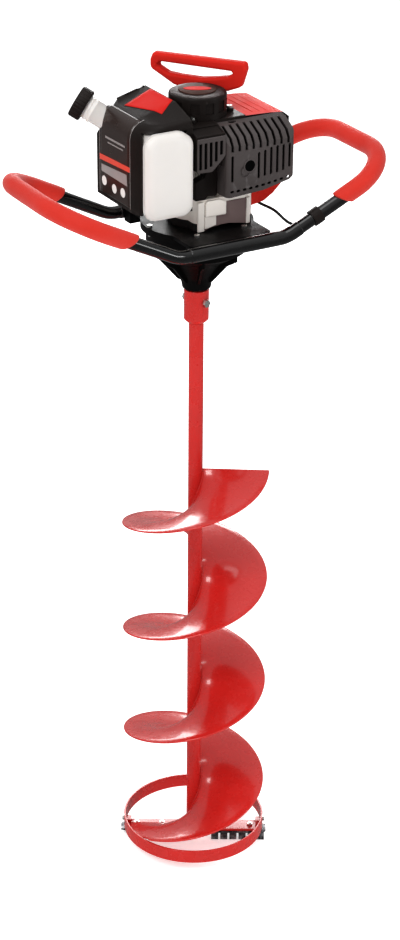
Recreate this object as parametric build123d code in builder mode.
from build123d import *
import math
import os

os.makedirs("parts", exist_ok=True)

# Petrol ice auger, millimetres. +Z is up along the drill axis, the origin is on that
# axis in the plane of the cutting teeth. -Y is the near side, with the muffler and the
# tank's end face. +X runs along the handlebar, to the right as seen from the near side.

# ---- dimensions shared between sections ---------------------------------
SHAFT_R = 12.7            # auger tube
SLIP = 0.02               # radial gap between parts that fit together
COLLAR_R = 21.0
COLLAR_Z0, COLLAR_Z1 = 1024.0, 1083.0
CROSS_BOLT_Z = 1062.0     # bolt through the collar and the output shaft
CROSS_BOLT_ANGLE = -75.0
CROSS_HOLE_R = 4.05
OUTPUT_R = 11.0           # output shaft
CASE_FLANGE_Z = 1200.0    # top of the gear case flange
COVER_Z = CASE_FLANGE_Z + 0.05
COVER_TOP = COVER_Z + 5.95
FLANGE_R = 93.0
FLANGE_BOLT_RING = 88.5
FLANGE_BOLTS = 6
HOUSING_BOLTS = ((-29.0, -51.0), (62.0, -38.0), (62.0, 36.0), (-29.0, 43.0))
EAR_SCREWS = ((-33.0, -41.0), (51.5, -13.5), (-38.0, 35.0))
BAR_Y, BAR_Z = 118.0, 1194.0      # handlebar tube where it crosses the gear case
BAR_R = 11.1                      # 7/8 in tube
CYL_Z = 1302.0            # height of the cylinder axis, which runs along +X
PORT_X = 71.0             # intake and exhaust ports of the cylinder
PORT_R = 8.0
INTAKE_R = 7.0            # passage through the carburettor and the filter
ROPE_XY = (31.4, 56.0)    # where the starter cord leaves the recoil housing
RECOIL_Z0 = 1385.1        # underside of the recoil housing
HANDLE_Z0 = 1399.5        # underside of the starter handle at rest


def keep(builder, label):
    """Label the finished piece and write its STEP file."""
    part = builder.part
    part.label = label
    export_step(part, f"parts/{label}.step")


def polar(radius, angle, z=0.0):
    turn = math.radians(angle)
    return (radius * math.cos(turn), radius * math.sin(turn), z)


def level(z):
    """Horizontal plane at height z."""
    return Plane.XY.offset(z)


def turned_level(angle, x=0.0, y=0.0, z=0.0):
    """Horizontal plane whose own X points at the given angle."""
    return Plane(origin=(x, y, z), x_dir=polar(1, angle), z_dir=(0, 0, 1))


def across_cylinder(x):
    """Plane square to the cylinder axis, centred on it."""
    return Plane(origin=(x, 0, CYL_Z), z_dir=(1, 0, 0))


def side_view(x, z=0.0):
    """Plane facing +X: sketch x is world Y, sketch y is world Z."""
    return Plane(origin=(x, 0, z), x_dir=(0, 1, 0), z_dir=(1, 0, 0))


def near_view(y):
    """Plane facing -Y: sketch x is world X, sketch y is world Z."""
    return Plane(origin=(0, y, 0), x_dir=(1, 0, 0), z_dir=(0, -1, 0))


def start_plane(path):
    """Plane square to a path at its start."""
    return Plane(origin=path @ 0, z_dir=path % 0)


def turned_piece(label, profile, plane=Plane.XZ, axis=Axis.Z):
    """A piece made by one turned profile."""
    with BuildPart() as piece:
        with BuildSketch(plane):
            with BuildLine():
                Polyline(*profile, close=True)
            make_face()
        revolve(axis=axis)
    keep(piece, label)


# ======================= AUGER ===========================================
FLIGHT_R = 127.0          # 10 in auger
FLIGHT_PITCH = 208.5
FLIGHT_T = 3.2
FLIGHT_START = 150.0      # angle of the lower end of the flight, degrees
FLIGHT_TURNS = 1257.0 / 360.0
FLIGHT_Z0 = 21.5
RING_R, RING_IN = 127.5, 124.0
RING_Z0, RING_Z1 = 22.0, 47.0
BLADE_ANGLES = (-30.0, 150.0)
BLADE_HOLES = ((58, -2), (104, -2))   # along and across the arm
BLADE_HOLE_R = 3.3
BLADE_Z0, BLADE_T = 11.9, 3.2
ARM_Z0, ARM_T = 15.2, 5.0
TEETH = 6
TOOTH_START, TOOTH_PITCH, TOOTH_W = 33.0, 16.8, 13.2
HEAD_T = 3.2              # blade screw heads and nuts

# Right-hand helical flight: a flat strip swept along a helix round the shaft.
flight_w = FLIGHT_R - SHAFT_R
with BuildPart() as flight_blank:
    with BuildLine(level(FLIGHT_Z0)) as flight_path:
        Helix(pitch=FLIGHT_PITCH, height=FLIGHT_PITCH * FLIGHT_TURNS, radius=SHAFT_R)
    with BuildSketch(Plane(origin=(SHAFT_R, 0, FLIGHT_Z0), x_dir=(1, 0, 0), z_dir=(0, -1, 0))):
        with Locations((flight_w / 2.0, 0)):
            Rectangle(flight_w, FLIGHT_T)
    sweep(path=flight_path.wire(), is_frenet=True)
flight_solid = flight_blank.part.rotate(Axis.Z, FLIGHT_START)
with BuildPart() as flighting:
    add(flight_solid)
    # trimmed to fit inside the guide ring and round the shaft
    with BuildSketch(level(-5)):
        Circle(FLIGHT_R + 20)
        Circle(RING_IN - 0.05, mode=Mode.SUBTRACT)
    extrude(amount=RING_Z1 + 5.2, mode=Mode.SUBTRACT)
    with BuildSketch(level(-5)):
        Circle(SHAFT_R + SLIP)
    extrude(amount=900, mode=Mode.SUBTRACT)
keep(flighting, "flighting")

# Auger tube with a solid pointed lower end, (radius, z).
turned_piece("shaft_tube", [
    (0, 6), (SHAFT_R - 4.0, 14), (SHAFT_R, 22), (SHAFT_R, 1034),
    (SHAFT_R - 2.6, 1034), (SHAFT_R - 2.6, 60), (0, 52),
])

with BuildPart() as guide_ring:
    with BuildSketch(level(RING_Z0)):
        Circle(RING_R)
        Circle(RING_IN, mode=Mode.SUBTRACT)
    extrude(amount=RING_Z1 - RING_Z0)
    fillet(guide_ring.edges(), 0.8)
keep(guide_ring, "guide_ring")

# Two radial arms carry the blades from the shaft out to the ring.
ARM_OUTLINE = [
    (0, -15), (RING_IN - 9, -15), (RING_IN - 1.5, -5), (RING_IN - 1.5, 13), (70, 13), (0, 8),
]
with BuildPart() as blade_arms:
    for angle in BLADE_ANGLES:
        arm_plane = turned_level(angle, z=ARM_Z0)
        with BuildSketch(arm_plane):
            with BuildLine():
                Polyline(*ARM_OUTLINE, close=True)
            make_face()
        extrude(amount=ARM_T)
        with BuildSketch(arm_plane):
            with Locations(*BLADE_HOLES):
                Circle(BLADE_HOLE_R)
        extrude(amount=ARM_T + 1, mode=Mode.SUBTRACT)
        # upright block against the inside of the ring
        with BuildSketch(arm_plane):
            with Locations((RING_IN - 5.6, -1)):
                Rectangle(8.0, 14)
        extrude(amount=18.0)
    with BuildSketch(level(10)):
        Circle(SHAFT_R + SLIP)
    extrude(amount=40, mode=Mode.SUBTRACT)
    with BuildSketch(level(10)):
        Circle(200)
        Circle(RING_IN - SLIP, mode=Mode.SUBTRACT)
    extrude(amount=40, mode=Mode.SUBTRACT)
    # the flight passes close above the left arm
    add(flighting.part, mode=Mode.SUBTRACT)
keep(blade_arms, "blade_arms")

BLADE_OUTLINE = [(30, -17), (128, -17), (133.5, -10), (133.5, 8), (126, 11), (30, 11)]
TOOTH_PROFILE = [(-17, 12), (-20.5, 0), (-17.5, 0.0), (-9.5, 12)]   # (along tangent, z)
with BuildPart() as cutting_blades:
    for angle in BLADE_ANGLES:
        with BuildSketch(turned_level(angle).offset(BLADE_Z0)):
            with BuildLine():
                Polyline(*BLADE_OUTLINE, close=True)
            make_face()
        extrude(amount=BLADE_T)
        # serrated edge: chisel teeth along the clockwise side, seen from above
        for k in range(TEETH):
            tooth_start = polar(TOOTH_START + k * TOOTH_PITCH, angle)
            with BuildSketch(Plane(origin=tooth_start, x_dir=polar(1, angle + 90),
                                   z_dir=polar(1, angle))):
                with BuildLine():
                    Polyline(*TOOTH_PROFILE, close=True)
                make_face()
            extrude(amount=TOOTH_W)
        with BuildSketch(turned_level(angle).offset(8)):
            with Locations(*BLADE_HOLES):
                Circle(BLADE_HOLE_R)
        extrude(amount=10, mode=Mode.SUBTRACT)
keep(cutting_blades, "cutting_blades")

with BuildPart() as auger_screws:
    for angle in BLADE_ANGLES:
        base = turned_level(angle)
        with BuildSketch(base.offset(BLADE_Z0 - 0.1 - HEAD_T)):
            with Locations(*BLADE_HOLES):
                Circle(5.4)
        extrude(amount=HEAD_T)
        with BuildSketch(base.offset(11.7)):
            with Locations(*BLADE_HOLES):
                Circle(3.0)
        extrude(amount=14.0)
        with BuildSketch(base.offset(ARM_Z0 + ARM_T + 0.1)):
            with Locations(*BLADE_HOLES):
                RegularPolygon(5.2, 6)
        extrude(amount=HEAD_T)
    # hex heads on the outside of the ring, in line with the arms
    for angle in BLADE_ANGLES:
        with BuildSketch(Plane(origin=polar(RING_R + SLIP, angle, (RING_Z0 + RING_Z1) / 2),
                               z_dir=polar(1, angle))):
            RegularPolygon(5.4, 6)
        extrude(amount=3.4)
    add(flighting.part, mode=Mode.SUBTRACT)
keep(auger_screws, "auger_screws")

# Collar joining the auger tube to the output shaft; its bore steps at 1035.
COLLAR_STEP_Z = 1035.0
COLLAR_PROFILE = [                    # (radius, z)
    (SHAFT_R + SLIP, COLLAR_Z0), (COLLAR_R - 5.5, COLLAR_Z0), (COLLAR_R, COLLAR_Z0 + 5.5),
    (COLLAR_R, COLLAR_Z1 - 1), (COLLAR_R - 1, COLLAR_Z1), (OUTPUT_R + 0.05, COLLAR_Z1),
    (OUTPUT_R + 0.05, COLLAR_STEP_Z), (SHAFT_R + SLIP, COLLAR_STEP_Z),
]
bolt_dir = polar(1, CROSS_BOLT_ANGLE)
with BuildPart() as drive_collar:
    with BuildSketch(Plane.XZ):
        with BuildLine():
            Polyline(*COLLAR_PROFILE, close=True)
        make_face()
    revolve(axis=Axis.Z)
    with BuildSketch(Plane(origin=(0, 0, CROSS_BOLT_Z), z_dir=bolt_dir)):
        Circle(CROSS_HOLE_R)
    extrude(amount=60, both=True, mode=Mode.SUBTRACT)
keep(drive_collar, "drive_collar")

with BuildPart() as collar_bolt:
    with BuildSketch(Plane(origin=polar(-28, CROSS_BOLT_ANGLE, CROSS_BOLT_Z), z_dir=bolt_dir)):
        Circle(CROSS_HOLE_R - 0.05)
    extrude(amount=53)
    # hex head and nut: where each starts along the bolt, and its thickness
    for start, thickness in ((21.3, 5.0), (-27.6, 6.2)):
        with BuildSketch(Plane(origin=polar(start, CROSS_BOLT_ANGLE, CROSS_BOLT_Z),
                               z_dir=bolt_dir)):
            RegularPolygon(7.0, 6)
        extrude(amount=thickness)
keep(collar_bolt, "collar_bolt")

# ======================= GEARBOX =========================================
MODULE, PINION_T, GEAR_T = 1.1, 11, 61
SHIFT, BACKLASH = 0.42, 0.16
CENTRES = MODULE * (PINION_T + GEAR_T) / 2.0
HALF_TOOTH = 180.0 / GEAR_T           # turns a gap, not a tooth, towards the mating pinion
DRILL_XY = (0.0, 0.0)
COUNTER_XY = (0.0, CENTRES)           # countershaft, on the far side of the drill axis
OUTPUT_GEAR_Z, INPUT_GEAR_Z = 1165.0, 1185.0
COUNTER_R = 4.0
INPUT_R = 5.0
BEARING_GAP = 0.05                    # between a shaft and its bearing
COUNTER_SEAT_R = 9.0
OUTPUT_SEAT_R = 19.0
INPUT_SEAT_R = 11.0


def involute_profile(teeth, shift, steps=7):
    """Closed list of (x, y) points of a spur gear, one tooth centred on +X."""
    pressure = math.radians(20.0)
    pitch_r = MODULE * teeth / 2.0
    base_r = pitch_r * math.cos(pressure)
    tip_r = pitch_r + MODULE * (0.95 + shift)
    root_r = pitch_r - MODULE * (1.30 - shift)

    def involute(angle):
        return math.tan(angle) - angle

    half_pitch = math.pi / (2 * teeth) + 2 * shift * math.tan(pressure) / teeth
    half_base = half_pitch - BACKLASH / (4 * pitch_r) + involute(pressure)
    start_r = max(base_r, root_r)
    flank = []                        # (radius, half the tooth's angle there)
    for i in range(steps + 1):
        radius = start_r + (tip_r - start_r) * i / steps
        angle = math.acos(min(1.0, base_r / radius))
        flank.append((radius, half_base - involute(angle)))
    foot = flank[0][1]
    flank = [(radius, half) for radius, half in flank if radius - root_r > 0.02]
    points = []
    for tooth in range(teeth):
        centre = tooth * 2 * math.pi / teeth
        points.append((root_r, centre - foot))
        points += [(radius, centre - half) for radius, half in flank]
        points += [(radius, centre + half) for radius, half in reversed(flank)]
        points.append((root_r, centre + foot))
    return [(radius * math.cos(angle), radius * math.sin(angle)) for radius, angle in points]


pinion_points = involute_profile(PINION_T, SHIFT)
gear_points = involute_profile(GEAR_T, -SHIFT, steps=4)


def gear_wheel(label, centre, bottom, width, mate_angle, bore_r, hole_ring_r, hole_r):
    """Large gear with six lightening holes, a tooth gap facing mate_angle."""
    with BuildPart() as wheel:
        with BuildSketch(turned_level(mate_angle + HALF_TOOTH, *centre, bottom)):
            with BuildLine():
                Polyline(*gear_points, close=True)
            make_face()
            Circle(bore_r, mode=Mode.SUBTRACT)
            with PolarLocations(hole_ring_r, 6):
                Circle(hole_r, mode=Mode.SUBTRACT)
        extrude(amount=width)
    keep(wheel, label)


def pinion_shaft(label, centre, mate_angle, bottom, width, shaft_r, shaft_z, shaft_length):
    """Pinion on its shaft, a tooth facing mate_angle."""
    with BuildPart() as pinion:
        with BuildSketch(turned_level(mate_angle, *centre, bottom)):
            with BuildLine():
                Polyline(*pinion_points, close=True)
            make_face()
        extrude(amount=width)
        with BuildSketch(level(shaft_z)):
            with Locations(centre):
                Circle(shaft_r)
        extrude(amount=shaft_length)
    keep(pinion, label)


gear_wheel("output_gear", DRILL_XY, OUTPUT_GEAR_Z, width=13, mate_angle=90,
           bore_r=OUTPUT_R + SLIP, hole_ring_r=22, hole_r=5.0)
pinion_shaft("counter_shaft", COUNTER_XY, mate_angle=-90, bottom=OUTPUT_GEAR_Z - 1.0, width=15.5,
             shaft_r=COUNTER_R, shaft_z=OUTPUT_GEAR_Z - 7.5, shaft_length=42)
gear_wheel("counter_gear", COUNTER_XY, INPUT_GEAR_Z, width=9, mate_angle=-90,
           bore_r=COUNTER_R + 0.01, hole_ring_r=20, hole_r=5.5)
pinion_shaft("input_pinion", DRILL_XY, mate_angle=90, bottom=INPUT_GEAR_Z - 1, width=11.5,
             shaft_r=INPUT_R, shaft_z=INPUT_GEAR_Z + 10, shaft_length=25)

OUTPUT_SHAFT_PROFILE = [              # (radius, z)
    (0, 1037), (10.2, 1037), (OUTPUT_R, 1038), (OUTPUT_R, 1180),
    (6.0, 1180), (6.0, 1182.5), (0, 1182.5),
]
with BuildPart() as output_shaft:
    with BuildSketch(Plane.XZ):
        with BuildLine():
            Polyline(*OUTPUT_SHAFT_PROFILE, close=True)
        make_face()
    revolve(axis=Axis.Z)
    with BuildSketch(Plane(origin=(0, 0, CROSS_BOLT_Z), z_dir=bolt_dir)):
        Circle(CROSS_HOLE_R)
    extrude(amount=40, both=True, mode=Mode.SUBTRACT)
keep(output_shaft, "output_shaft")

# Lower gear case: a bearing snout, a flared cone with webs, and the round gear well.
CASE_PROFILE = [                      # (radius, z): outside going up, then inside going down
    (24.0, 1087), (25.5, 1096), (30, 1108), (50, 1134), (58, 1142), (84, 1158), (84, 1194),
    (FLANGE_R, 1194), (FLANGE_R, CASE_FLANGE_Z), (79, CASE_FLANGE_Z), (79, 1163.0),
    (57, 1148.5), (46.8, 1137.5), (28, 1113.5), (25, 1113.5), (25, 1160),
    (OUTPUT_SEAT_R, 1160), (OUTPUT_SEAT_R, 1102), (12, 1102), (12, 1097), (18, 1097), (18, 1087),
]
WEB_OUTLINE = [                       # (radius, z)
    (24.5, 1099), (32, 1102), (62, 1136), (82.5, 1148), (82.5, 1160), (52, 1140), (32, 1114),
]
with BuildPart() as gear_case:
    with BuildSketch(Plane.XZ):
        with BuildLine():
            Polyline(*CASE_PROFILE, close=True)
        make_face()
    revolve(axis=Axis.Z)
    # boss for the lower countershaft bearing
    with BuildSketch(level(1139)):
        with Locations(COUNTER_XY):
            Circle(13)
    extrude(amount=23)
    with BuildSketch(level(1156)):
        with Locations(COUNTER_XY):
            Circle(COUNTER_SEAT_R)
    extrude(amount=12, mode=Mode.SUBTRACT)
    # outside webs on the cone
    for angle in range(0, 360, 45):
        with BuildSketch(Plane(origin=(0, 0, 0), x_dir=polar(1, angle + 22.5),
                               z_dir=polar(1, angle - 67.5))):
            with BuildLine():
                Polyline(*WEB_OUTLINE, close=True)
            make_face()
        extrude(amount=2.0, both=True)
    with BuildSketch(level(1190)):
        with PolarLocations(FLANGE_BOLT_RING, FLANGE_BOLTS):
            Circle(2.6)
    extrude(amount=20, mode=Mode.SUBTRACT)
keep(gear_case, "gear_case")

# Cover plate of the gear case: it also carries the two handlebar tubes in its ends.
with BuildPart() as case_cover:
    with BuildSketch(level(COVER_Z)):
        Circle(FLANGE_R)
        Rectangle(150, 226)
    extrude(amount=COVER_TOP - COVER_Z)
    upright_edges = case_cover.edges().filter_by(Axis.Z).group_by(Axis.Y)
    fillet(upright_edges[0] + upright_edges[-1], 8)
    # raised collar round the input shaft
    with BuildSketch(level(1204)):
        Circle(17)
    extrude(amount=11)
    # hanger blocks under the plate, cut to the flange and later to the tubes
    for side in (-1, 1):
        for block_x in (-62, 62):
            with BuildSketch(level(1179)):
                with Locations((block_x, side * 103)):
                    Rectangle(24, 20)
            extrude(amount=21.5)
    with BuildSketch(level(1175)):
        Circle(FLANGE_R + 0.3)
    extrude(amount=CASE_FLANGE_Z - 1175, mode=Mode.SUBTRACT)
    # bosses under the plate, with seats for the input and upper countershaft bearings
    with BuildSketch(level(1195.6)):
        Circle(17)
        with Locations(COUNTER_XY):
            Circle(13)
    extrude(amount=6)
    with BuildSketch(level(1190)):
        Circle(INPUT_SEAT_R)
    extrude(amount=30, mode=Mode.SUBTRACT)
    with BuildSketch(level(1190)):
        with Locations(COUNTER_XY):
            Circle(COUNTER_SEAT_R)
    extrude(amount=11.4, mode=Mode.SUBTRACT)
    with BuildSketch(level(1190)):
        with PolarLocations(FLANGE_BOLT_RING, FLANGE_BOLTS):
            Circle(3.1)
        with Locations(*HOUSING_BOLTS):
            Circle(3.2)
    extrude(amount=40, mode=Mode.SUBTRACT)
    for side in (-1, 1):
        with BuildSketch(Plane(origin=(0, side * BAR_Y, BAR_Z), z_dir=(1, 0, 0))):
            Circle(BAR_R + 0.03)
        extrude(amount=120, both=True, mode=Mode.SUBTRACT)
keep(case_cover, "case_cover")

# Ball bearings of the gearbox, drawn as rings with shield grooves on both faces.
GEARBOX_BEARINGS = (                  # bottom, top, shaft radius, seat radius, centre
    (1102.05, 1110, OUTPUT_R, OUTPUT_SEAT_R, DRILL_XY),
    (1152, 1159.9, OUTPUT_R, OUTPUT_SEAT_R, DRILL_XY),
    (1156.05, 1161.9, COUNTER_R, COUNTER_SEAT_R, COUNTER_XY),
    (1195.6, 1201.3, COUNTER_R, COUNTER_SEAT_R, COUNTER_XY),
    (1196.0, 1202.0, INPUT_R, INPUT_SEAT_R, DRILL_XY),
    (1208.5, 1214.5, INPUT_R, INPUT_SEAT_R, DRILL_XY),
)
GROOVE_DEPTH = 0.5
with BuildPart() as gearbox_bearings:
    for bottom, top, shaft_r, seat_r, centre in GEARBOX_BEARINGS:
        inner_r = shaft_r + BEARING_GAP
        outer_r = seat_r - SLIP
        with BuildSketch(level(bottom)):
            with Locations(centre):
                Circle(outer_r)
                Circle(inner_r, mode=Mode.SUBTRACT)
        extrude(amount=top - bottom)
        middle_r = (inner_r + outer_r) / 2
        half_groove = (outer_r - inner_r) * 0.16
        for z in (bottom, top - GROOVE_DEPTH):
            with BuildSketch(level(z)):
                with Locations(centre):
                    Circle(middle_r + half_groove)
                    Circle(middle_r - half_groove, mode=Mode.SUBTRACT)
            extrude(amount=GROOVE_DEPTH, mode=Mode.SUBTRACT)
keep(gearbox_bearings, "gearbox_bearings")

# Lip seal in the snout, (radius, z).
turned_piece("output_seal", [
    (11.06, 1089.5), (17.98, 1088.2), (17.98, 1096.4), (12.5, 1096.4), (11.06, 1092),
])

# ======================= CLUTCH ==========================================
JOURNAL_R = 7.5                       # crankshaft
JOURNAL_BORE_R = JOURNAL_R + 0.05     # hub and bearings on the journal
DRUM_R, DRUM_IN = 41.0, 38.0
DRUM_BORE_R = INPUT_R + SLIP
DRUM_PROFILE = [                      # (radius, z)
    (DRUM_BORE_R, 1215.5), (9, 1215.5), (9, 1217.5), (DRUM_R, 1217.5), (DRUM_R, 1244),
    (DRUM_IN, 1244), (DRUM_IN, 1220.3), (DRUM_BORE_R, 1220.3),
]
with BuildPart() as clutch_drum:
    with BuildSketch(Plane.XZ):
        with BuildLine():
            Polyline(*DRUM_PROFILE, close=True)
        make_face()
    revolve(axis=Axis.Z)
    with BuildSketch(level(1215)):
        with PolarLocations(24, 6):
            Circle(5)
    extrude(amount=7, mode=Mode.SUBTRACT)
keep(clutch_drum, "clutch_drum")

with BuildPart() as clutch_hub:
    with BuildSketch(level(1223)):
        Circle(11)
        Rectangle(64, 7.6)
        Circle(JOURNAL_BORE_R, mode=Mode.SUBTRACT)
    extrude(amount=18)
keep(clutch_hub, "clutch_hub")

# Each shoe is the part of a thick ring beyond 6 mm from the hub's bar.
for side, label in ((1, "clutch_shoe_a"), (-1, "clutch_shoe_b")):
    with BuildPart() as clutch_shoe:
        with BuildSketch(level(1223.5)):
            Circle(DRUM_IN - 1.3)
            Circle(14.0, mode=Mode.SUBTRACT)
            with Locations((0, -side * 33.5)):
                Rectangle(100, 79, mode=Mode.SUBTRACT)
            # slot through the middle of the shoe
            with Locations((0, side * 24)):
                Rectangle(9, 5, mode=Mode.SUBTRACT)
        extrude(amount=17)
    keep(clutch_shoe, label)

# Clutch housing: the block between the gear case and the crankcase.
BLOCK_X0, BLOCK_X1, BLOCK_Y0, BLOCK_Y1 = -36.0, 73.0, -60.0, 50.0
BLOCK_CENTRE = ((BLOCK_X0 + BLOCK_X1) / 2, (BLOCK_Y0 + BLOCK_Y1) / 2)
BLOCK_SIZE = (BLOCK_X1 - BLOCK_X0, BLOCK_Y1 - BLOCK_Y0)
BLOCK_CORNER_R = 14
HOUSING_Z0 = COVER_TOP + 0.05
HOUSING_H = 44.0
with BuildPart() as clutch_housing:
    with BuildSketch(level(HOUSING_Z0)):
        with Locations(BLOCK_CENTRE):
            RectangleRounded(*BLOCK_SIZE, BLOCK_CORNER_R)
        Circle(49)
    extrude(amount=HOUSING_H)
    # drum chamber, then the opening for the crankshaft
    with BuildSketch(level(1200)):
        Circle(DRUM_R + 4)
    extrude(amount=46, mode=Mode.SUBTRACT)
    with BuildSketch(level(1240)):
        Circle(20)
    extrude(amount=20, mode=Mode.SUBTRACT)
    # stepped near face: the posts stand proud of the two panels
    with BuildSketch(near_view(BLOCK_Y0 - 1)):
        with Locations((-9.0, 1226), (46.0, 1228)):
            Rectangle(18, 60)
    extrude(amount=-9.0, mode=Mode.SUBTRACT)
    # arched foot in the near wall
    with BuildSketch(near_view(BLOCK_Y0 - 5)):
        with Locations((20, 1196)):
            Ellipse(36, 17)
    extrude(amount=-30.0, mode=Mode.SUBTRACT)
    with BuildSketch(level(1190)):
        with Locations(*HOUSING_BOLTS):
            Circle(2.6)
    extrude(amount=34, mode=Mode.SUBTRACT)
keep(clutch_housing, "clutch_housing")

# ======================= ENGINE ==========================================
BORE_R, STROKE = 20.25, 33.0          # 42.5 cc
ROD_L = 58.0
CRANK_PIN_X = STROKE / 2              # drawn at top dead centre
WRIST_X = CRANK_PIN_X + ROD_L
CRANK_PIN_R, WRIST_PIN_R = 6.0, 5.0
CASE_Z0, CASE_Z1 = HOUSING_Z0 + HOUSING_H + 0.05, 1334.0
CRANK_SEAT_R = 17.5
CHEEK_R = 26.0
CYL_AXIS = Axis((0, 0, CYL_Z), (1, 0, 0))

with BuildPart() as crankcase:
    with BuildSketch(level(CASE_Z0)):
        with Locations(BLOCK_CENTRE):
            RectangleRounded(*BLOCK_SIZE, BLOCK_CORNER_R)
    extrude(amount=9)
    with BuildSketch(level(CASE_Z0)):
        Circle(37)
    extrude(amount=CASE_Z1 - CASE_Z0)
    # block the cylinder is bolted to
    with BuildSketch(level(1262)):
        with Locations((20, 0)):
            Rectangle(40, 72)
    extrude(amount=1338 - 1262)
    # crankshaft bore, the two bearing seats, the crank chamber and the way to the cylinder
    with BuildSketch(level(CASE_Z0 - 1)):
        Circle(8.4)
    extrude(amount=100, mode=Mode.SUBTRACT)
    with BuildSketch(level(CASE_Z0 - 1)):
        Circle(CRANK_SEAT_R)
    extrude(amount=13.9, mode=Mode.SUBTRACT)
    with BuildSketch(level(1323)):
        Circle(CRANK_SEAT_R)
    extrude(amount=20, mode=Mode.SUBTRACT)
    with BuildSketch(level(1280)):
        Circle(CHEEK_R + 4)
    extrude(amount=44, mode=Mode.SUBTRACT)
    with BuildSketch(across_cylinder(10)):
        Circle(21.5)
    extrude(amount=40, mode=Mode.SUBTRACT)
keep(crankcase, "crankcase")

CRANK_GROOVE_DEPTH = 0.6
with BuildPart() as crank_bearings:
    for bottom, top in ((1251, 1262.9), (1324.2, 1333.9)):
        with BuildSketch(level(bottom)):
            Circle(CRANK_SEAT_R - SLIP)
            Circle(JOURNAL_BORE_R, mode=Mode.SUBTRACT)
        extrude(amount=top - bottom)
        for z in (bottom, top - CRANK_GROOVE_DEPTH):
            with BuildSketch(level(z)):
                Circle(14.4)
                Circle(10.6, mode=Mode.SUBTRACT)
            extrude(amount=CRANK_GROOVE_DEPTH, mode=Mode.SUBTRACT)
keep(crank_bearings, "crank_bearings")

# Full-disc crank cheeks with their journals; the pin stands between them.
LOWER_CRANK = [                       # (radius, z)
    (0, 1222), (6.5, 1222), (JOURNAL_R, 1223), (JOURNAL_R, 1282), (CHEEK_R, 1282),
    (CHEEK_R, 1293.5), (0, 1293.5),
]
UPPER_CRANK = [
    (0, 1310.5), (CHEEK_R, 1310.5), (CHEEK_R, 1322), (JOURNAL_R, 1322), (JOURNAL_R, 1342),
    (6, 1362), (4.5, 1362), (4.5, 1374), (0, 1374),
]
with BuildPart() as crankshaft:
    with BuildSketch(Plane.XZ):
        with BuildLine():
            Polyline(*LOWER_CRANK, close=True)
        make_face()
        with BuildLine():
            Polyline(*UPPER_CRANK, close=True)
        make_face()
    revolve(axis=Axis.Z)
keep(crankshaft, "crankshaft")

WRIST_BORE_R = WRIST_PIN_R + 0.04
with BuildPart() as connecting_rod:
    with BuildSketch(level(CYL_Z - 5)):
        with BuildLine():
            Polyline((CRANK_PIN_X, -5), (WRIST_X, -4), (WRIST_X, 4), (CRANK_PIN_X, 5), close=True)
        make_face()
    extrude(amount=10)
    with BuildSketch(level(CYL_Z - 7)):
        with Locations((CRANK_PIN_X, 0)):
            Circle(10.5)
        with Locations((WRIST_X, 0)):
            Circle(7.5)
    extrude(amount=14)
    with BuildSketch(level(CYL_Z - 9)):
        with Locations((CRANK_PIN_X, 0)):
            Circle(CRANK_PIN_R + 0.04)
        with Locations((WRIST_X, 0)):
            Circle(WRIST_BORE_R)
    extrude(amount=18, mode=Mode.SUBTRACT)
keep(connecting_rod, "connecting_rod")

PISTON_R = BORE_R - 0.08
RING_GROOVES_X = (WRIST_X + 8.5, WRIST_X + 12.0)
RING_GROOVE_W = 1.3
with BuildPart() as piston:
    with BuildSketch(across_cylinder(WRIST_X - 14)):
        Circle(PISTON_R)
    extrude(amount=30)
    with BuildSketch(across_cylinder(WRIST_X - 15)):
        Circle(16)
    extrude(amount=26, mode=Mode.SUBTRACT)
    with BuildSketch(level(CYL_Z - 25)):
        with Locations((WRIST_X, 0)):
            Circle(WRIST_BORE_R)
    extrude(amount=50, mode=Mode.SUBTRACT)
    for groove_x in RING_GROOVES_X:
        with BuildSketch(across_cylinder(groove_x)):
            Circle(PISTON_R + 1)
            Circle(PISTON_R - 1.6, mode=Mode.SUBTRACT)
        extrude(amount=RING_GROOVE_W, mode=Mode.SUBTRACT)
keep(piston, "piston")

with BuildPart() as piston_rings:
    for groove_x in RING_GROOVES_X:
        with BuildSketch(across_cylinder(groove_x + 0.05)):
            Circle(BORE_R - 0.03)
            Circle(PISTON_R - 1.5, mode=Mode.SUBTRACT)
            # end gap
            with Locations((0, -BORE_R)):
                Rectangle(0.8, 6, mode=Mode.SUBTRACT)
        extrude(amount=RING_GROOVE_W - 0.1)
keep(piston_rings, "piston_rings")

# Crank pin and hollow wrist pin; the crank pin just clears both cheeks.
with BuildPart() as engine_pins:
    with BuildSketch(level(1293.7)):
        with Locations((CRANK_PIN_X, 0)):
            Circle(CRANK_PIN_R)
    extrude(amount=16.6)
    with BuildSketch(level(CYL_Z - 18)):
        with Locations((WRIST_X, 0)):
            Circle(WRIST_PIN_R)
            Circle(3.0, mode=Mode.SUBTRACT)
    extrude(amount=36)
keep(engine_pins, "engine_pins")

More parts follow.
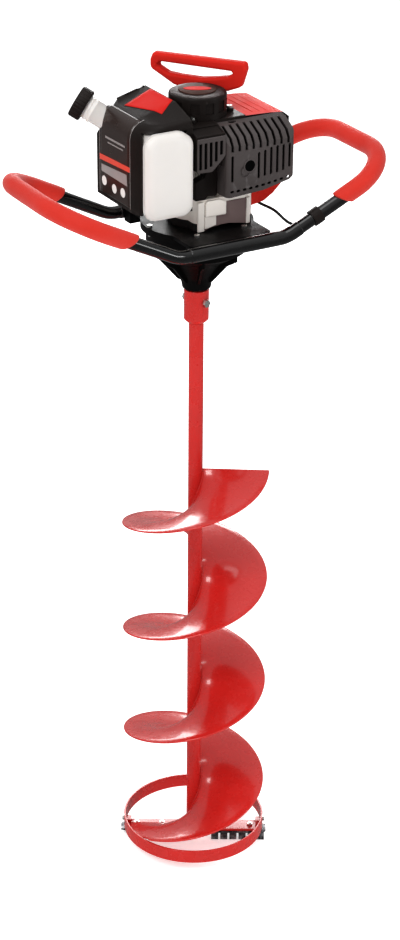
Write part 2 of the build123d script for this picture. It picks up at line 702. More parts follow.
CYL_X0 = 40.05                        # foot of the cylinder, against the crankcase
FINS, FIN_X0, FIN_PITCH = 9, 44, 6.8
BOSS_W, BOSS_H = 28, 26               # port bosses
with BuildPart() as cylinder:
    with BuildSketch(across_cylinder(CYL_X0)):
        Circle(25.5)
    extrude(amount=63.95)
    for k in range(FINS):
        with BuildSketch(side_view(FIN_X0 + k * FIN_PITCH, CYL_Z)):
            RectangleRounded(68, 68, 8)
        extrude(amount=2.0)
    with BuildSketch(side_view(CYL_X0, CYL_Z)):
        RectangleRounded(60, 60, 6)
    extrude(amount=5)
    # exhaust boss towards -Y, intake boss towards +Y
    for side, reach in ((-1, 45.0), (1, 41.0)):
        with BuildSketch(Plane(origin=(PORT_X, 0, CYL_Z), x_dir=(1, 0, 0), z_dir=(0, side, 0))):
            Rectangle(BOSS_W, BOSS_H)
        extrude(amount=reach)
    with BuildSketch(across_cylinder(39)):
        Circle(BORE_R)
    extrude(amount=53.5, mode=Mode.SUBTRACT)
    for side in (-1, 1):
        with BuildSketch(Plane(origin=(PORT_X, side * 15, CYL_Z), z_dir=(0, side, 0))):
            Circle(PORT_R)
        extrude(amount=34, mode=Mode.SUBTRACT)
    # spark plug hole and the recess round it
    for start, radius in ((90, 5.02), (98.0, 11)):
        with BuildSketch(across_cylinder(start)):
            Circle(radius)
        extrude(amount=30, mode=Mode.SUBTRACT)
keep(cylinder, "cylinder")

# Spark plug on the cylinder axis, (x, radius).
turned_piece("spark_plug", [
    (93, 0), (93, 5.0), (98.05, 5.0), (98.05, 8.2), (106, 8.2), (106, 5.6), (120, 4.6),
    (120, 2.4), (125, 2.4), (125, 0),
], plane=level(CYL_Z), axis=CYL_AXIS)

# Boot over the plug, with the lead up to the coil.
BOOT_PROFILE = [                      # (x, radius)
    (107, 5.75), (107, 8.6), (134, 8.6), (136, 7), (136, 0), (126, 0), (126, 5.0), (120, 5.0),
]
LEAD_POINTS = [(130, 0, CYL_Z + 4), (131, 4, 1336), (112, 14, 1356), (84.5, 16, 1357)]
with BuildPart() as plug_boot:
    with BuildSketch(level(CYL_Z)):
        with BuildLine():
            Polyline(*BOOT_PROFILE, close=True)
        make_face()
    revolve(axis=CYL_AXIS)
    with BuildLine() as lead_path:
        Spline(*LEAD_POINTS, tangents=((0, 0, 1), (-1, 0.0, 0)))
    with BuildSketch(start_plane(lead_path.wire())):
        Circle(3.2)
    sweep(path=lead_path.wire())
keep(plug_boot, "plug_boot")

FLYWHEEL_R = 43.4
with BuildPart() as ignition_coil:
    with BuildSketch(level(1347)):
        with Locations((70, 16)):
            Rectangle(26, 34)
    extrude(amount=19)
    fillet(ignition_coil.edges().filter_by(Axis.Z), 4)
    # two legs, cut to the flywheel's rim
    with BuildSketch(level(1350)):
        with Locations((50, 4), (50, 28)):
            Rectangle(24, 8)
    extrude(amount=10)
    with BuildSketch(level(1340)):
        Circle(FLYWHEEL_R + 0.7)
    extrude(amount=40, mode=Mode.SUBTRACT)
keep(ignition_coil, "ignition_coil")

FLYWHEEL_PROFILE = [                  # (radius, z), with a tapered bore
    (7.6, 1340), (15, 1337), (15, 1341), (42, 1343), (FLYWHEEL_R, 1344.5),
    (FLYWHEEL_R, 1350), (20, 1350), (16, 1362), (6.1, 1362), (7.6, 1342),
]
VANE_OUTLINE = [(24, -1.3), (33, 0.0), (42.6, 4.4), (41.8, 6.6), (32.5, 2.4), (24, 1.3)]
VANES = 18
with BuildPart() as flywheel:
    with BuildSketch(Plane.XZ):
        with BuildLine():
            Polyline(*FLYWHEEL_PROFILE, close=True)
        make_face()
    revolve(axis=Axis.Z)
    for k in range(VANES):
        with BuildSketch(turned_level(k * 360 / VANES, z=1349)):
            with BuildLine():
                Polyline(*VANE_OUTLINE, close=True)
            make_face()
        extrude(amount=18)
    # starter cup: notched rim, then its base
    with BuildSketch(level(1361)):
        Circle(22)
        Circle(17.5, mode=Mode.SUBTRACT)
        with PolarLocations(19.75, 4):
            Rectangle(6, 7, mode=Mode.SUBTRACT)
    extrude(amount=11)
    with BuildSketch(level(1349)):
        Circle(22)
        Circle(15.0, mode=Mode.SUBTRACT)
    extrude(amount=12.1)
keep(flywheel, "flywheel")

CARB_XY = (PORT_X, 54)
CARB_Z0, CARB_H = 1284, 38
with BuildPart() as carburettor:
    with BuildSketch(level(CARB_Z0)):
        with Locations(CARB_XY):
            RectangleRounded(32, 25.8, 3)
    extrude(amount=CARB_H)
    with BuildSketch(level(1278)):
        with Locations(CARB_XY):
            Circle(11)
    extrude(amount=8)
    with BuildSketch(Plane(origin=(PORT_X, 41.05, CYL_Z), z_dir=(0, 1, 0))):
        Circle(12)
    extrude(amount=33.2)
    with BuildSketch(Plane(origin=(PORT_X, 40, CYL_Z), z_dir=(0, 1, 0))):
        Circle(INTAKE_R)
    extrude(amount=40, mode=Mode.SUBTRACT)
keep(carburettor, "carburettor")

with BuildPart() as throttle_arm:
    with BuildSketch(level(CARB_Z0 + CARB_H + 0.3)):
        with BuildLine():
            Polyline((PORT_X, 50.5), (88, 52), (88, 56), (PORT_X, 57.5), close=True)
        make_face()
        with Locations(CARB_XY):
            Circle(5)
        with Locations((85, CARB_XY[1])):
            Circle(1.2, mode=Mode.SUBTRACT)
    extrude(amount=2.5)
keep(throttle_arm, "throttle_arm")

PRIMER_X, PRIMER_Z = 60, 1290
CHOKE_Y, CHOKE_Z = 88, 1290
CHOKE_PIN_R = 3.0
with BuildPart() as air_filter:
    with BuildSketch(Plane.XZ.offset(-74.4)):
        with Locations((72, 1306)):
            RectangleRounded(58, 70, 8)
    extrude(amount=-23.6)
    fillet(air_filter.edges().group_by(Axis.Y)[-1], 3)
    # socket for the primer bulb in the far face
    with BuildSketch(Plane(origin=(PRIMER_X, 98.5, PRIMER_Z), z_dir=(0, -1, 0))):
        Circle(11.3)
    extrude(amount=11.5, mode=Mode.SUBTRACT)
    with BuildSketch(Plane(origin=(PORT_X, 74, CYL_Z), z_dir=(0, 1, 0))):
        Circle(INTAKE_R)
    extrude(amount=6, mode=Mode.SUBTRACT)
    # pin for the choke lever
    with BuildSketch(Plane(origin=(100.5, CHOKE_Y, CHOKE_Z), z_dir=(1, 0, 0))):
        Circle(CHOKE_PIN_R)
    extrude(amount=5.5)
keep(air_filter, "air_filter")

with BuildPart() as choke_lever:
    with BuildSketch(Plane(origin=(101.6, CHOKE_Y, CHOKE_Z), x_dir=(0, 1, 0), z_dir=(1, 0, 0))):
        with BuildLine():
            Polyline((-5, 0), (-3.2, 30), (3.2, 30), (5, 0), close=True)
        make_face()
        Circle(6.5)
        with Locations((0, 30)):
            Circle(3.2)
        Circle(CHOKE_PIN_R + 0.05, mode=Mode.SUBTRACT)
    extrude(amount=3)
    # finger tab
    with BuildSketch(Plane(origin=(104.5, CHOKE_Y, CHOKE_Z), x_dir=(0, 1, 0), z_dir=(1, 0, 0))):
        with Locations((0, 29)):
            Rectangle(3, 6)
    extrude(amount=7)
keep(choke_lever, "choke_lever")

with BuildPart() as primer_bulb:
    with BuildSketch(Plane(origin=(PRIMER_X, 93.2, PRIMER_Z), z_dir=(0, 1, 0))):
        Circle(11.2)
    extrude(amount=1.4)
    with BuildSketch(Plane(origin=(PRIMER_X, 94.5, PRIMER_Z), z_dir=(0, 1, 0))):
        Circle(9.5)
    extrude(amount=11)
    fillet(primer_bulb.edges().group_by(Axis.Y)[-1], 6)
keep(primer_bulb, "primer_bulb")

# ======================= MUFFLER AND COVERS ==============================
# Muffler, flat against the cylinder's exhaust boss, inside a slotted guard.
with BuildPart() as muffler:
    with BuildSketch(Plane.XZ.offset(48)):
        with Locations((68, 1314)):
            RectangleRounded(96, 62, 12)
    extrude(amount=37)
    fillet(muffler.edges().group_by(Axis.Y)[0], 5)
    with BuildSketch(Plane.XZ.offset(45.05)):
        with Locations((PORT_X, CYL_Z)):
            Rectangle(30, 26)
    extrude(amount=4)
    with BuildSketch(Plane(origin=(PORT_X, -45, CYL_Z), z_dir=(0, -1, 0))):
        Circle(PORT_R)
    extrude(amount=12, mode=Mode.SUBTRACT)
keep(muffler, "muffler")

GUARD_X0, GUARD_X1 = 3.0, 129.0
GUARD_WALL = 2.4
GUARD_OUTER = [                       # (y, z)
    (-47, 1380.5), (-60, 1377), (-84, 1364), (-92, 1352), (-92, 1255), (-47, 1255),
]
GUARD_INNER = [
    (-46, 1378.2), (-59.4, 1374.8), (-82.4, 1362.4), (-89.6, 1351.2), (-89.6, 1250), (-46, 1250),
]
GUARD_BOTTOM_CUT = [                  # (x, z)
    (0, 1250), (0, 1267), (70, 1271), (118, 1281), (135, 1292), (135, 1250),
]
GUARD_TOP_SLOT = [                    # (y, z)
    (-95, 1343), (-80, 1343), (-74, 1362), (-56, 1372), (-60, 1385), (-95, 1372),
]
# middle height and length of the upright slots, from left to right
UPRIGHT_SLOTS = ((1314, 44), (1316, 44), (1318, 46), (1319, 46), (1320, 44), (1322, 40))
SLOT_PITCH = 11.5
guard_side = side_view(GUARD_X0)
with BuildPart() as muffler_guard:
    with BuildSketch(guard_side):
        with BuildLine():
            Polyline(*GUARD_OUTER, close=True)
        make_face()
    extrude(amount=GUARD_X1 - GUARD_X0)
    fillet(muffler_guard.edges().filter_by(Axis.Z).group_by(Axis.Y)[0], 8)
    with BuildSketch(guard_side.offset(GUARD_WALL)):
        with BuildLine():
            Polyline(*GUARD_INNER, close=True)
        make_face()
    extrude(amount=GUARD_X1 - GUARD_X0 - 2 * GUARD_WALL, mode=Mode.SUBTRACT)
    # sloping bottom edge
    with BuildSketch(near_view(-30)):
        with BuildLine():
            Polyline(*GUARD_BOTTOM_CUT, close=True)
        make_face()
    extrude(amount=70, mode=Mode.SUBTRACT)
    # near face: upright slots, a rising row of short ones below, and a round hole
    with BuildSketch(near_view(-94)):
        with Locations((12, 1315)):
            SlotOverall(44, 4.6, rotation=90)
        for k, (middle_z, length) in enumerate(UPRIGHT_SLOTS):
            with Locations((61 + SLOT_PITCH * k, middle_z)):
                SlotOverall(length, 4.6, rotation=90)
        for k in range(10):
            with Locations((12 + SLOT_PITCH * k, 1277 + 0.114 * k * k)):
                SlotOverall(7, 4.4)
        with Locations((35, 1308)):
            Circle(5)
    extrude(amount=-12, mode=Mode.SUBTRACT)
    # shallow counterbore round the hole
    with BuildSketch(Plane(origin=(35, -92.01, 1308), z_dir=(0, -1, 0))):
        Circle(9.5)
    extrude(amount=-1.1, mode=Mode.SUBTRACT)
    # slots that run over the sloping top edge
    for k in range(9):
        with BuildSketch(side_view(12 + 13 * k)):
            with BuildLine():
                Polyline(*GUARD_TOP_SLOT, close=True)
            make_face()
        extrude(amount=2.5, both=True, mode=Mode.SUBTRACT)
    with BuildSketch(level(1370)):
        with Locations((34, -51)):
            Ellipse(7.5, 3.6)
    extrude(amount=20, mode=Mode.SUBTRACT)
keep(muffler_guard, "muffler_guard")

# Cover over the cylinder and carburettor, drawn as seen from the near side, (x, z).
COVER_OUTER = [
    (63, 1262), (63, 1383), (112, 1381), (134, 1378.5), (145, 1370), (145, 1270),
    (118, 1244), (100, 1233), (77, 1229), (77, 1262),
]
COVER_INNER = [
    (60, 1200), (60, 1380.6), (111.8, 1378.8), (133, 1376.4), (142.8, 1369), (142.8, 1200),
]
with BuildPart() as engine_cover:
    with BuildSketch(Plane.XZ.offset(45)):
        with BuildLine():
            Polyline(*COVER_OUTER, close=True)
        make_face()
    extrude(amount=-117)
    with BuildSketch(Plane.XZ.offset(42.8)):
        with BuildLine():
            Polyline(*COVER_INNER, close=True)
        make_face()
    extrude(amount=-118, mode=Mode.SUBTRACT)
    # exhaust opening in the near wall
    with BuildSketch(Plane.XZ.offset(40)):
        with Locations((PORT_X, 1299)):
            Rectangle(36, 40)
    extrude(amount=20, mode=Mode.SUBTRACT)
    # shallow grooves along the roof
    with BuildSketch(Plane.XZ.offset(30)):
        with Locations((84, 1383.0), (97, 1382.6), (110, 1382.2)):
            Rectangle(2.6, 2.6)
    extrude(amount=-94, mode=Mode.SUBTRACT)
keep(engine_cover, "engine_cover")

# Blower housing over the flywheel, with the slotted intake at the near end.
SHROUD_X0, SHROUD_Y0 = -49.5, -84.0
SWITCH_Z = 1360.0
SHROUD_OUTER = [                      # (x, y)
    (SHROUD_X0, SHROUD_Y0), (2.6, SHROUD_Y0), (2.6, -46.6), (62, -46.6), (62, 72),
    (SHROUD_X0, 72),
]
SHROUD_INNER = [
    (-47.1, -81.6), (0.2, -81.6), (0.2, -44.2), (70, -44.2), (70, 69.6), (-47.1, 69.6),
]
with BuildPart() as fan_shroud:
    with BuildSketch(level(1318)):
        with BuildLine():
            Polyline(*SHROUD_OUTER, close=True)
        make_face()
    extrude(amount=67)
    # lower rim is high except at the slotted intake
    with BuildSketch(level(1310)):
        with Locations((0, 18)):
            Rectangle(200, 120)
    extrude(amount=26, mode=Mode.SUBTRACT)
    with BuildSketch(level(1310)):
        with BuildLine():
            Polyline(*SHROUD_INNER, close=True)
        make_face()
    extrude(amount=72.4, mode=Mode.SUBTRACT)
    # roof slopes down to the near end: cut the slope, then lay a sheet under it
    with BuildSketch(side_view(-60)):
        with BuildLine():
            Polyline((-52, 1386), (-90, 1373), (-90, 1400), (-52, 1400), close=True)
        make_face()
    extrude(amount=140, mode=Mode.SUBTRACT)
    with BuildSketch(side_view(SHROUD_X0)):
        with BuildLine():
            Polyline((-52, 1384.6), (SHROUD_Y0, 1373.8), (SHROUD_Y0, 1371.2), (-52, 1382.2),
                     close=True)
        make_face()
    extrude(amount=2.6 - SHROUD_X0)
    with BuildSketch(level(1375)):
        Circle(43)
    extrude(amount=12, mode=Mode.SUBTRACT)
    # intake grille, lower right corner cut away
    with BuildSketch(near_view(-86)):
        for k in range(7):
            with Locations((-43 + 6.6 * k, 1343.5)):
                SlotOverall(40, 3.4, rotation=90)
        with BuildLine():
            Polyline((-16, 1310), (-16, 1318), (3, 1336), (10, 1336), (10, 1310), close=True)
        make_face()
    extrude(amount=-12, mode=Mode.SUBTRACT)
    # window for the stop switch in the far wall
    with BuildSketch(Plane(origin=(-30, 65, SWITCH_Z), x_dir=(1, 0, 0), z_dir=(0, 1, 0))):
        Rectangle(14.4, 20.4)
    extrude(amount=12, mode=Mode.SUBTRACT)
    with BuildSketch(level(1375)):
        with Locations(*EAR_SCREWS):
            Circle(2.1)
    extrude(amount=12, mode=Mode.SUBTRACT)
keep(fan_shroud, "fan_shroud")

# Rocker switch with its cross pin, trimmed above and below to the window.
ROCKER_PROFILE = [                    # (y, z)
    (64, 1352), (73.2, 1351), (75.5, 1353.5), (73.6, SWITCH_Z), (75.5, 1366.5),
    (73.2, 1369), (64, 1368),
]
with BuildPart() as stop_switch:
    with BuildSketch(side_view(-37)):
        with BuildLine():
            Polyline(*ROCKER_PROFILE, close=True)
        make_face()
    extrude(amount=14)
    with BuildSketch(Plane(origin=(-40, 66.5, SWITCH_Z), z_dir=(1, 0, 0))):
        Circle(2.2)
    extrude(amount=20)
    with BuildSketch(side_view(-37)):
        with Locations((66, 1374), (66, 1346)):
            Rectangle(20, 6)
    extrude(amount=14, mode=Mode.SUBTRACT)
keep(stop_switch, "stop_switch")

# ======================= RECOIL STARTER ==================================
RECOIL_R, RECOIL_TOP = 47.0, 1422.0
EAR_T = 5.0
POST_R = 6.0                          # bearing post of the reel
RECOIL_PROFILE = [                    # (radius, z)
    (0, 1389), (RECOIL_R, 1389), (RECOIL_R, 1418), (46, 1420.6), (43.5, RECOIL_TOP),
    (0, RECOIL_TOP),
]
with BuildPart() as recoil_housing:
    # base plate: screw ears, and an arm out to the rope guide
    with BuildSketch(level(RECOIL_Z0)):
        Circle(RECOIL_R)
        with Locations(*EAR_SCREWS):
            Circle(6.5)
        with Locations(Location((ROPE_XY[0] / 2 + 8, ROPE_XY[1] / 2 + 14, 0), 60.7)):
            Rectangle(36, 17)
        with Locations(ROPE_XY):
            Circle(8.5)
    extrude(amount=EAR_T)
    with BuildSketch(level(1388)):
        with Locations(ROPE_XY):
            Circle(8.5)
    extrude(amount=8)
    with BuildSketch(Plane.XZ):
        with BuildLine():
            Polyline(*RECOIL_PROFILE, close=True)
        make_face()
    revolve(axis=Axis.Z)
    # room for the reel and its spring
    with BuildSketch(level(1380)):
        Circle(42)
    extrude(amount=37.5, mode=Mode.SUBTRACT)
    # shallow recesses round the wall
    for angle in (-125, -95, -65, -35, 130, 165, 200):
        with BuildSketch(Plane(origin=polar(44.7, angle, 1404), x_dir=polar(1, angle + 90),
                               z_dir=polar(1, angle))):
            Rectangle(15, 18)
        extrude(amount=6, mode=Mode.SUBTRACT)
    with BuildSketch(level(1388)):
        Circle(POST_R)
    extrude(amount=31)
    with BuildSketch(level(1380)):
        with Locations(ROPE_XY):
            Circle(2.6)
        with Locations(*EAR_SCREWS):
            Circle(2.2)
    extrude(amount=40, mode=Mode.SUBTRACT)
    # shallow round recess in the top
    with BuildSketch(level(RECOIL_TOP - 0.7)):
        Circle(32)
    extrude(amount=2, mode=Mode.SUBTRACT)
keep(recoil_housing, "recoil_housing")

# Reel with a rope groove and a short upper hub, (radius, z).
REEL_BORE_R = POST_R + 0.08
turned_piece("recoil_reel", [
    (REEL_BORE_R, 1396), (39, 1396), (39, 1398.5), (30, 1399.5), (30, 1406.5), (39, 1407.5),
    (39, 1410), (12, 1410), (12, 1416), (REEL_BORE_R, 1416),
])

# Flat spiral spring: five turns from radius 9 to 39, in steps of 20 degrees.
SPRING_STEPS = 90
SPRING_T = 0.7


def spiral_edge(offset):
    """Points of the spiral, moved outward by offset."""
    return [polar(9.0 + 30.0 * i / SPRING_STEPS + offset, 20.0 * i)[:2]
            for i in range(SPRING_STEPS + 1)]


with BuildPart() as recoil_spring:
    with BuildSketch(level(1388.5)):
        with BuildLine():
            Polyline(*(spiral_edge(0.0) + spiral_edge(SPRING_T)[::-1]), close=True)
        make_face()
    extrude(amount=6.5)
keep(recoil_spring, "recoil_spring")

ROPE_Z0 = 1386.0
with BuildPart() as starter_rope:
    with BuildSketch(level(ROPE_Z0)):
        with Locations(ROPE_XY):
            Circle(2.0)
    extrude(amount=HANDLE_Z0 - ROPE_Z0 - 0.05)
keep(starter_rope, "starter_rope")

# Loop handle standing on edge over the rope; (along the handle, height above its underside).
HANDLE_T = 18.0
HANDLE_OUTLINE = [
    (-42, 0), (42, 2), (74, 22), (86, 58), (82, 62), (-84, 60), (-88, 56), (-80, 24),
]
HANDLE_OPENING = [(-46, 16), (44, 18), (64, 37), (62, 39.5), (-62, 39.5), (-66, 34)]
handle_plane = Plane(origin=(*ROPE_XY, 0), x_dir=(0.574, -0.819, 0), z_dir=(-0.819, -0.574, 0))
with BuildPart() as recoil_handle:
    with BuildSketch(handle_plane.offset(-HANDLE_T / 2)):
        with BuildLine():
            Polyline(*[(x, HANDLE_Z0 + height) for x, height in HANDLE_OUTLINE], close=True)
        make_face()
        with BuildLine():
            Polyline(*[(x, HANDLE_Z0 + height) for x, height in HANDLE_OPENING], close=True)
        make_face(mode=Mode.SUBTRACT)
    extrude(amount=HANDLE_T)
keep(recoil_handle, "recoil_handle")

# ======================= FUEL TANK =======================================
NECK_PLANE = Plane(origin=(-112.0, 62.0, 1363.0), z_dir=(-0.66, 0.57, 0.49))
NECK_R = 19.0
NECK_L = 73.0
TANK_X0, TANK_X1 = -140.0, -50.0      # left wall and engine side of the cover
TANK_Y0, TANK_Y1 = -72.0, 88.0
with BuildPart() as tank_cover:
    # end profile: straight left wall, rounded shoulder, roof rising to the starter
    with BuildSketch(Plane.XZ.offset(-TANK_Y0)):
        with BuildLine():
            Line((TANK_X1, 1250), (TANK_X0, 1250))
            Line((TANK_X0, 1250), (TANK_X0, 1376))
            TangentArc((TANK_X0, 1376), (-118, 1399), tangent=(0, 1))
            Line((-118, 1399), (TANK_X1, 1416))
            Line((TANK_X1, 1416), (TANK_X1, 1250))
        make_face()
    extrude(amount=TANK_Y0 - TANK_Y1)
    # plan outline: big rounded near left corner, small far left one
    with BuildSketch(level(1240)):
        with BuildLine():
            Line((TANK_X1, TANK_Y0), (-98, TANK_Y0))
            RadiusArc((-98, TANK_Y0), (TANK_X0, -30), 42)
            Line((TANK_X0, -30), (TANK_X0, 80))
            RadiusArc((TANK_X0, 80), (-132, TANK_Y1), 8)
            Line((-132, TANK_Y1), (TANK_X1, TANK_Y1))
            Line((TANK_X1, TANK_Y1), (TANK_X1, TANK_Y0))
        make_face()
    extrude(amount=190, mode=Mode.INTERSECT)
    # inside, in three cuts: engine side, left side by its plan, and the left shoulder
    with BuildSketch(Plane.XZ.offset(80)):
        with BuildLine():
            Polyline((-52.4, 1240), (-96, 1240), (-96, 1396.5), (-52.4, 1411), close=True)
        make_face()
    extrude(amount=-165.6, mode=Mode.SUBTRACT)
    with BuildSketch(level(1240)):
        with BuildLine():
            Polyline((-90, -69.6), (-103, -69.6), (-118, -65), (-131, -52), (-137.6, -38),
                     (-137.6, 85.6), (-90, 85.6), close=True)
        make_face()
    extrude(amount=136, mode=Mode.SUBTRACT)
    with BuildSketch(Plane.XZ.offset(40)):
        with BuildLine():
            Polyline((-90, 1370), (-137.6, 1370), (-137.6, 1376), (-133, 1388), (-118, 1396.4),
                     (-90, 1403.4), close=True)
        make_face()
    extrude(amount=-125.6, mode=Mode.SUBTRACT)
    # the filler neck comes out of the far left shoulder
    with BuildSketch(NECK_PLANE):
        Circle(NECK_R + 2.5)
    extrude(amount=60, mode=Mode.SUBTRACT)
    # the near end is open for the tank
    with BuildSketch(Plane.XZ.offset(40)):
        with Locations((-96, 1315.5)):
            Rectangle(70, 141)
    extrude(amount=50, mode=Mode.SUBTRACT)
    # the engine side is open below, where the fuel line leaves
    with BuildSketch(side_view(-56)):
        with Locations((8, 1275)):
            Rectangle(136, 60)
    extrude(amount=10, mode=Mode.SUBTRACT)
keep(tank_cover, "tank_cover")

with BuildPart() as fuel_tank:
    # near end, standing out of the cover, then the body inside it
    with BuildSketch(Plane.XZ.offset(92)):
        with Locations((-101.5, 1320.5)):
            RectangleRounded(79, 145, 16)
    extrude(amount=-19.5)
    fillet(fuel_tank.edges().group_by(Axis.Y)[0], 9)
    with BuildSketch(Plane.XZ.offset(74)):
        with Locations((-95, 1319)):
            RectangleRounded(66, 130, 14)
    extrude(amount=-152)
    with BuildSketch(NECK_PLANE):
        Circle(NECK_R)
    extrude(amount=NECK_L)
    with BuildSketch(NECK_PLANE.offset(-20)):
        Circle(NECK_R)
    extrude(amount=21)
    with BuildSketch(NECK_PLANE.offset(20)):
        Circle(NECK_R - 3.5)
    extrude(amount=60, mode=Mode.SUBTRACT)
keep(fuel_tank, "fuel_tank")

with BuildPart() as cap_liner:
    with BuildSketch(NECK_PLANE.offset(NECK_L + 0.1)):
        Circle(18.6)
    extrude(amount=1.6)
keep(cap_liner, "cap_liner")

with BuildPart() as fuel_cap:
    with BuildSketch(NECK_PLANE.offset(59)):
        Circle(26.5)
    extrude(amount=20)
    chamfer(fuel_cap.edges().filter_by(GeomType.CIRCLE), 1.5)
    with BuildSketch(NECK_PLANE.offset(58)):
        Circle(NECK_R + 0.3)
    extrude(amount=16.9, mode=Mode.SUBTRACT)
    # grip flutes round the rim
    with BuildSketch(NECK_PLANE.offset(60)):
        with PolarLocations(26.8, 30):
            Circle(1.3)
    extrude(amount=16, mode=Mode.SUBTRACT)
keep(fuel_cap, "fuel_cap")

# Hose from the tank to the carburettor.
HOSE_POINTS = [(-61.7, 30, 1270), (-40, 40, 1272), (20, 60, 1276), (58, 60, 1296)]
with BuildPart() as fuel_line:
    with BuildLine() as hose:
        Spline(*HOSE_POINTS, tangents=((1, 0, 0), (0.7, -0.2, 0.3)))
    with BuildSketch(start_plane(hose.wire())):
        Circle(3.0)
        Circle(1.6, mode=Mode.SUBTRACT)
    sweep(path=hose.wire())
    add(carburettor.part, mode=Mode.SUBTRACT)
keep(fuel_line, "fuel_line")

# ======================= HANDLEBAR =======================================
BAR_WALL = 1.8
GRIP_R = 15.5
GRIP_BORE_R = BAR_R + 0.05            # grips and lever clamp on the tube
BAR_X = 100.0                         # where the limbs start to rise
END_X, END_Y, END_Z = 302.0, 128.0, 1295.0
INNER_BEND_R, OUTER_BEND_R = 60, 80


def bend(before, corner, after, radius):
    """Start, middle and end of the bend at a corner between two points."""
    before, corner, after = Vector(*before), Vector(*corner), Vector(*after)
    back, ahead = (before - corner).normalized(), (after - corner).normalized()
    half_angle = math.acos(max(-1, min(1, back.dot(ahead)))) / 2
    inward = (back + ahead).normalized()
    centre = corner + inward * (radius / math.sin(half_angle))
    setback = radius / math.tan(half_angle)
    return corner + back * setback, centre - inward * radius, corner + ahead * setback


def bar_line(side, start=None, stop=None):
    """Draw one U-shaped half from its near end to its far end.

    With start and stop, which lie on the two limbs, only the part between them.
    """
    near_end, near_foot = (side * 0.4, -BAR_Y, BAR_Z), (side * BAR_X, -BAR_Y, BAR_Z)
    near_tip, far_tip = (side * END_X, -END_Y, END_Z), (side * END_X, END_Y, END_Z)
    far_foot, far_end = (side * BAR_X, BAR_Y, BAR_Z), (side * 0.4, BAR_Y, BAR_Z)
    near_inner = bend(near_end, near_foot, near_tip, INNER_BEND_R)
    near_outer = bend(near_foot, near_tip, far_tip, OUTER_BEND_R)
    far_outer = bend(near_tip, far_tip, far_foot, OUTER_BEND_R)
    far_inner = bend(far_tip, far_foot, far_end, INNER_BEND_R)
    if start is None:
        Line(near_end, near_inner[0])
        ThreePointArc(*near_inner)
        Line(near_inner[2], near_outer[0])
    else:
        Line(start, near_outer[0])
    ThreePointArc(*near_outer)
    Line(near_outer[2], far_outer[0])
    ThreePointArc(*far_outer)
    if stop is None:
        Line(far_outer[2], far_inner[0])
        ThreePointArc(*far_inner)
        Line(far_inner[2], far_end)
    else:
        Line(far_outer[2], stop)


def on_limb(side, far, x):
    """Point of the straight limb at distance x from the middle."""
    along = (x - BAR_X) / (END_X - BAR_X)
    y = BAR_Y + (END_Y - BAR_Y) * along
    return (side * x, y if far else -y, BAR_Z + (END_Z - BAR_Z) * along)


with BuildPart() as handlebar:
    for side in (-1, 1):
        with BuildLine() as bar_wire:
            bar_line(side)
        path = bar_wire.wire()
        with BuildSketch(start_plane(path)):
            Circle(BAR_R)
            Circle(BAR_R - BAR_WALL, mode=Mode.SUBTRACT)
        sweep(path=path)
keep(handlebar, "handlebar")

# side, then where the grip ends on the near limb and on the far limb
GRIP_ENDS = ((-1, 181.0, 183.0), (1, 196.0, 183.0))
with BuildPart() as grips:
    for side, near_x, far_x in GRIP_ENDS:
        with BuildLine() as grip_wire:
            bar_line(side, on_limb(side, False, near_x), on_limb(side, True, far_x))
        path = grip_wire.wire()
        with BuildSketch(start_plane(path)):
            Circle(GRIP_R)
            Circle(GRIP_BORE_R, mode=Mode.SUBTRACT)
        sweep(path=path)
keep(grips, "grips")

# Throttle lever on a clamp just inside the right grip, on the near limb. OUTWARD is the
# way it stands off the tube: square to the limb, towards +Y and a little down.
LEVER_TILT = math.radians(115)        # from straight up
LIMB = (Vector(*on_limb(1, False, 200)) - Vector(*on_limb(1, False, 100))).normalized()
RISE = (Vector(0, 0, 1) - LIMB * LIMB.Z).normalized()
OUTWARD = (RISE * math.cos(LEVER_TILT) + RISE.cross(LIMB) * math.sin(LEVER_TILT)).normalized()
ACROSS = OUTWARD.cross(LIMB)
CLAMP = Vector(*on_limb(1, False, 146))
CLAMP_W = 17.0
PIVOT = CLAMP + LIMB * (CLAMP_W / 2) + OUTWARD * 20.8
clamp_plane = Plane(origin=CLAMP, x_dir=ACROSS, z_dir=LIMB)
with BuildPart() as lever_clamp:
    with BuildSketch(clamp_plane):
        Circle(13.9)
        with Locations((0, 17.5)):
            Rectangle(13.4, 15)
        Circle(GRIP_BORE_R, mode=Mode.SUBTRACT)
    extrude(amount=CLAMP_W)
    # slot for the lever, then the pin across it
    with BuildSketch(clamp_plane.offset(-1)):
        with Locations((0, 22)):
            Rectangle(8.4, 13)
    extrude(amount=CLAMP_W + 2, mode=Mode.SUBTRACT)
    with BuildSketch(Plane(origin=PIVOT - ACROSS * 8, x_dir=LIMB, z_dir=ACROSS)):
        Circle(1.8)
    extrude(amount=16)
keep(lever_clamp, "lever_clamp")

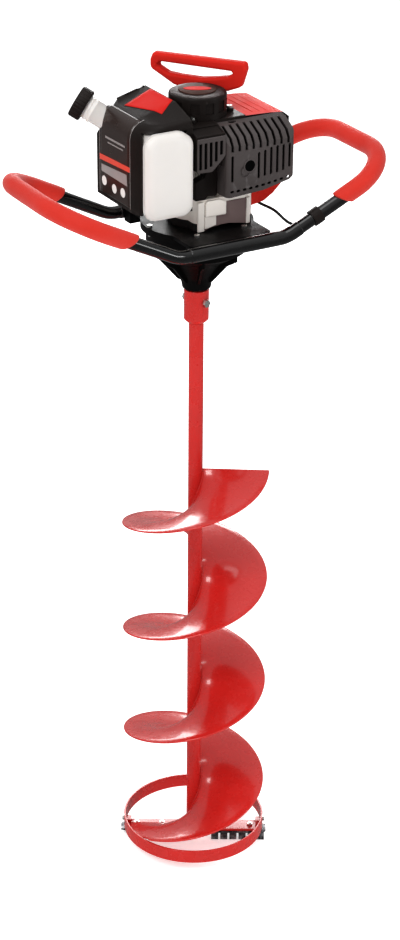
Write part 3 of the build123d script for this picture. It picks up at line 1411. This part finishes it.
# Lever outline round its pivot: (along the limb, back towards the tube).
LEVER_T = 7.8
LEVER_OUTLINE = [
    (-6, 3.5), (8, 3), (26, -0.5), (62, -11), (60, -15.5), (24, -6.5), (0, -6), (-6, -3.5),
]
with BuildPart() as throttle_lever:
    with BuildSketch(Plane(origin=PIVOT - ACROSS * (LEVER_T / 2), x_dir=LIMB, z_dir=ACROSS)):
        with BuildLine():
            Polyline(*LEVER_OUTLINE, close=True)
        make_face()
        Circle(1.9, mode=Mode.SUBTRACT)
    extrude(amount=LEVER_T)
keep(throttle_lever, "throttle_lever")

# Cable from the clamp, round the clutch housing and up to the throttle arm.
CABLE_POINTS = [
    tuple(CLAMP - LIMB * 0.6 + OUTWARD * 14.0),
    (132, -105, 1204.5), (116, -96, 1209), (107, -84, 1219.5), (103.5, -62, 1224.5),
    (97, -36, 1227), (98.5, 16, 1249), (103, 44, 1290), (99, 51, 1307), (92.5, 53, 1318),
]
with BuildPart() as throttle_cable:
    with BuildLine() as cable:
        Spline(*CABLE_POINTS, tangents=((-LIMB.X, -LIMB.Y, -LIMB.Z), (-0.6, 0.4, 0.6)))
    path = cable.wire()
    with BuildSketch(start_plane(path)):
        Circle(2.4)
    sweep(path=path)
keep(throttle_cable, "throttle_cable")

# ======================= FRAME SCREWS ====================================
with BuildPart() as frame_screws:
    # gear case flange, heads on top
    with BuildSketch(level(1190.2)):
        with PolarLocations(FLANGE_BOLT_RING, FLANGE_BOLTS):
            Circle(2.5)
    extrude(amount=15.9)
    with BuildSketch(level(COVER_TOP + 0.06)):
        with PolarLocations(FLANGE_BOLT_RING, FLANGE_BOLTS):
            RegularPolygon(5.0, 6)
    extrude(amount=4.0)
    # clutch housing, heads below the cover plate
    with BuildSketch(level(1200.2)):
        with Locations(*HOUSING_BOLTS):
            Circle(2.5)
    extrude(amount=20)
    with BuildSketch(level(1195.8)):
        with Locations(*HOUSING_BOLTS):
            RegularPolygon(5.0, 6)
    extrude(amount=4.2)
    # recoil housing ears, socket heads
    with BuildSketch(level(1378)):
        with Locations(*EAR_SCREWS):
            Circle(2.0)
    extrude(amount=12.2)
    with BuildSketch(level(RECOIL_Z0 + EAR_T + SLIP)):
        with Locations(*EAR_SCREWS):
            Circle(4.2)
            RegularPolygon(2.0, 6, mode=Mode.SUBTRACT)
    extrude(amount=3.6)
keep(frame_screws, "frame_screws")
